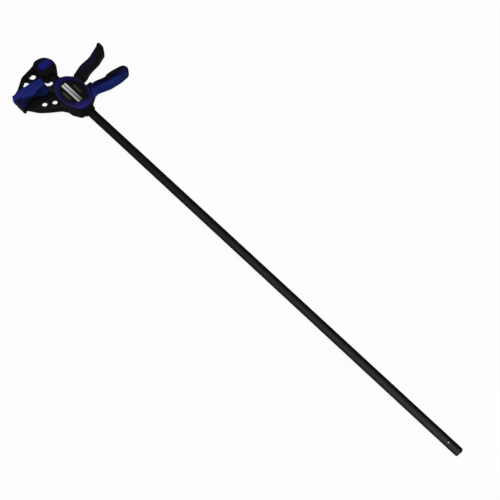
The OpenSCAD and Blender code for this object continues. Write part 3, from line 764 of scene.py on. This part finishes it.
for name, values in ribSetup.items():
    rib = makeRib(name, values["radius"], values["length"])
    bpy.context.view_layer.update()
    row = []
    for number in range(values["count"]):
        start = Vector((values["rayFrom"], (values["first"] + number * values["step"]) * mm, 0))
        found, spot, normal, _ = skins[values["on"]].ray_cast(start, Vector((1, 0, 0)))
        if not found:
            continue
        copy = bpy.data.objects.new(name, rib.data.copy())
        copy.location = spot - normal * values["sink"] * mm
        bpy.context.scene.collection.objects.link(copy)
        row.append(copy)
    bpy.data.objects.remove(rib)
    deselectAll()
    for copy in row:
        copy.select_set(True)
    bpy.context.view_layer.objects.active = row[0]
    bpy.ops.object.join()
    piece = bpy.context.object
    piece.name = name
    settle(piece)
    smoothBelow(ribShape["smoothAngle"])
    dress(piece, values["material"], bodyOf[values["on"]])
    print("ribs", name, len(row))


# black bead round each badge, where it meets the soft ring; one badge faces up, one down
beadSetup = {"radius": 0.55, "roundSteps": 3, "flat": 0.9,
    "badges": {"badge_left": 1, "badge_right": -1}}


def makeBead(node, side):  # the badge face's own outline, drawn out into a round wire
    piece = takeCopy(node)
    piece.name = node + "_bead"
    editAll(piece)
    bpy.ops.mesh.select_all(action="DESELECT")
    bpy.ops.mesh.select_mode(type="FACE")
    leaveEdit()
    for face in piece.data.polygons:
        face.select = face.normal.z * side < beadSetup["flat"]
    enterEdit()
    bpy.ops.mesh.delete(type="FACE")
    bpy.ops.mesh.select_all(action="SELECT")
    wholeFaces()
    bpy.ops.mesh.select_all(action="SELECT")
    bpy.ops.mesh.delete(type="ONLY_FACE")
    leaveEdit()
    bpy.ops.object.convert(target="CURVE")
    wire = bpy.context.object.data
    wire.bevel_depth = beadSetup["radius"] * mm
    wire.bevel_resolution = beadSetup["roundSteps"]
    bpy.ops.object.convert(target="MESH")
    bpy.ops.object.shade_smooth()
    return bpy.context.object


for node, side in beadSetup["badges"].items():
    bead = makeBead(node, side)
    dress(bead, blackPlastic, bodyOf[node])
    print("bead", bead.name, len(bead.data.polygons))


# springs, each a smooth-shaded copy; each entry lists its joint, axis, stroke in mm and fixed end,
# 1 for its high end and 0 for its low one, which the code here does not read
springSetup = {
    "drive_spring": {"joint": "drive_slide", "axis": (1, 0, 0), "stroke": 3.05, "fixedEnd": 1},
    "brake_spring": {"joint": "brake_release", "axis": (1, 0, 0), "stroke": 4.0, "fixedEnd": 1},
    "button_spring": {"joint": "button_press", "axis": (0, 0, 1), "stroke": 4.3, "fixedEnd": 0}}
springSmoothAngle = 60

for node, values in springSetup.items():
    piece = takeCopy(node)
    pick(piece)
    smoothBelow(springSmoothAngle)
    standFor(piece, node, steels["springSteel"])
    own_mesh(piece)


# solids that stay as they are
keptNodes = {
    "bar": barSteel, "badge_left": badgeFace, "badge_right": badgeFace,
    "spring_plug": blackPlastic, "housing_screws": steels["screwSteel"],
    "drive_plates": steels["plateSteel"], "brake_plates": steels["plateSteel"]}
for node in ("lock_pin", "guide_front", "guide_rear", "trigger_pin", "brake_anchor",
        "drive_roller"):
    keptNodes[node] = steels["turnedSteel"]

for node, material in keptNodes.items():
    nodes[node].data.materials.clear()
    nodes[node].data.materials.append(material)
print("kept solids have their finish")


# floor, world and lamp
studio = {"floorSize": 14.0, "floorMiddle": (0.5, 0), "floorBelow": 0.0001, "floorGlow": 0.88,
    "floorSeen": 0.96, "floorBounce": 0.3, "ambient": 0.32, "white": (1, 1, 1, 1),
    "sun": 2.1, "sunAngle": 22, "sunTurn": (14, 18, 0)}  # angles in degrees


def lightPath(tree):  # 1 for the camera's own rays, and 1 for those and for mirrored ones too
    rays = place(tree, "ShaderNodeLightPath").outputs
    mirrored = calc(tree, "MAXIMUM", rays["Is Glossy Ray"], rays["Is Transmission Ray"])
    return rays["Is Camera Ray"], calc(tree, "MAXIMUM", rays["Is Camera Ray"], mirrored)


def emptyTree(owner):
    owner.use_nodes = True
    owner.node_tree.nodes.clear()
    trees.append(owner.node_tree)
    return owner.node_tree


def floorMaterial():  # pale where it is seen, darker for the light that it throws back
    material = bpy.data.materials.new("paleFloor")
    tree = emptyTree(material)
    direct, seen = lightPath(tree)
    surface = place(tree, "ShaderNodeBsdfDiffuse")
    levels = (studio["floorBounce"], studio["floorSeen"])
    feed(tree, ramp(tree, direct, whole, levels), surface.inputs["Color"])
    glow = place(tree, "ShaderNodeEmission")
    mix = place(tree, "ShaderNodeMixShader")
    feed(tree, times(tree, seen, studio["floorGlow"]), mix.inputs["Fac"])
    feed(tree, surface.outputs["BSDF"], mix.inputs[1])
    feed(tree, glow.outputs["Emission"], mix.inputs[2])
    output = place(tree, "ShaderNodeOutputMaterial")
    feed(tree, mix.outputs["Shader"], output.inputs["Surface"])
    return material


deselectAll()
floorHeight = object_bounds()[0][2] - studio["floorBelow"]
bpy.ops.mesh.primitive_plane_add(size=studio["floorSize"],
    location=(*studio["floorMiddle"], floorHeight))
floor = bpy.context.object
floor.name = "floor"
floor.data.materials.append(floorMaterial())

world = bpy.data.worlds.new("studioWorld")
bpy.context.scene.world = world
worldTree = emptyTree(world)
background = place(worldTree, "ShaderNodeBackground")
background.inputs["Color"].default_value = studio["white"]
level = calc(worldTree, "MAXIMUM", lightPath(worldTree)[1], studio["ambient"])
feed(worldTree, level, background.inputs["Strength"])
worldOutput = place(worldTree, "ShaderNodeOutputWorld")
feed(worldTree, background.outputs["Background"], worldOutput.inputs["Surface"])

sunData = bpy.data.lights.new("softSun", "SUN")
sunData.energy = studio["sun"]
sunData.angle = math.radians(studio["sunAngle"])
sun = bpy.data.objects.new("softSun", sunData)
sun.rotation_euler = tuple(math.radians(value) for value in studio["sunTurn"])
bpy.context.scene.collection.objects.link(sun)
print("studio lit")

# node trees laid out for reading
layout = {"across": 220, "down": 260}


def arrange(tree):  # in columns, each node to the left of what it feeds
    column = {node.name: 0 for node in tree.nodes}
    for _ in tree.nodes:
        for link in tree.links:
            source, target = link.from_node.name, link.to_node.name
            column[source] = max(column[source], column[target] + 1)
    filled = {}
    for node in tree.nodes:
        here = column[node.name]
        filled[here] = filled.get(here, 0) + 1
        node.location = (-layout["across"] * here, -layout["down"] * filled[here])


for tree in trees:
    arrange(tree)
print("node trees arranged:", len(trees))
